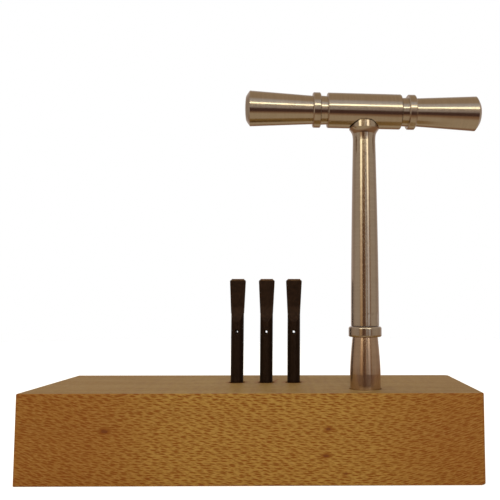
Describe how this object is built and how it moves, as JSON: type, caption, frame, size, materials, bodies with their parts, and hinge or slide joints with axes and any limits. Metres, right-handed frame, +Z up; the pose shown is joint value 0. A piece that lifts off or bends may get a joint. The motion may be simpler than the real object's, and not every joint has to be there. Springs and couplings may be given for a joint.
{
  "type": "T-handle screwdriver with stand",
  "caption": "Turned steel T-handle screwdriver standing in a plain beech block beside a row of blackened reversible blades.",
  "frame": {"origin": "middle of the stand's underside", "axes": "+X along the stand towards the driver's end, +Y from the front of the stand to its back, +Z up"},
  "size_m": [0.1566, 0.0604, 0.1334],
  "materials": {
    "beech": "bare planed beech, end grain at the two ends",
    "blackened_steel": "heat-blackened and oiled carbon steel",
    "turned_stainless": "fine-turned and lightly polished stainless steel",
    "ring_stainless": "turned and polished stainless steel",
    "screw_steel": "plain stainless screw",
    "hardened_steel": "ground and hardened tool steel",
    "spring_steel": "blue-tempered spring steel",
    "ball_steel": "polished bearing steel"
  },
  "bodies": {
    "stand": {"stand_block": "beech"},
    "thin_blade": {"blade_thin": "blackened_steel"},
    "medium_blade": {"blade_medium": "blackened_steel"},
    "thick_blade": {"blade_thick": "blackened_steel"},
    "driver": {"crossbar": "turned_stainless", "crossbar_grub_screw": "screw_steel", "stem": "turned_stainless", "nose_socket": "turned_stainless", "nose_grub_screw": "screw_steel", "thrust_plug": "hardened_steel", "ring_washer": "spring_steel", "ring_stop_pin": "hardened_steel"},
    "ring": {"lock_ring": "ring_stainless"},
    "ball": {"lock_ball": "ball_steel"}
  },
  "joints": [
    {"name": "thin_blade_lift", "type": "slide", "parent": "stand", "child": "thin_blade", "axis": [0, 0, 1], "range_m": [0, 0.045]},
    {"name": "medium_blade_lift", "type": "slide", "parent": "stand", "child": "medium_blade", "axis": [0, 0, 1], "range_m": [0, 0.045]},
    {"name": "thick_blade_lift", "type": "slide", "parent": "stand", "child": "thick_blade", "axis": [0, 0, 1], "range_m": [0, 0.045]},
    {"name": "driver_lift", "type": "slide", "parent": "stand", "child": "driver", "axis": [0, 0, 1], "range_m": [0, 0.06]},
    {"name": "ring_twist", "type": "hinge", "parent": "driver", "child": "ring", "pos_m": [0.0382, -0.0169, 0.04895], "axis": [0, 0, 1], "range_deg": [0, 50]},
    {"name": "ball_press", "type": "slide", "parent": "driver", "child": "ball", "axis": [0.0698, -0.9976, 0], "range_m": [0, 0.0005]}
  ],
  "couplings": [
    {"joint": "ball_press", "follows": "ring_twist", "m_per_rad": 0.0005729}
  ]
}
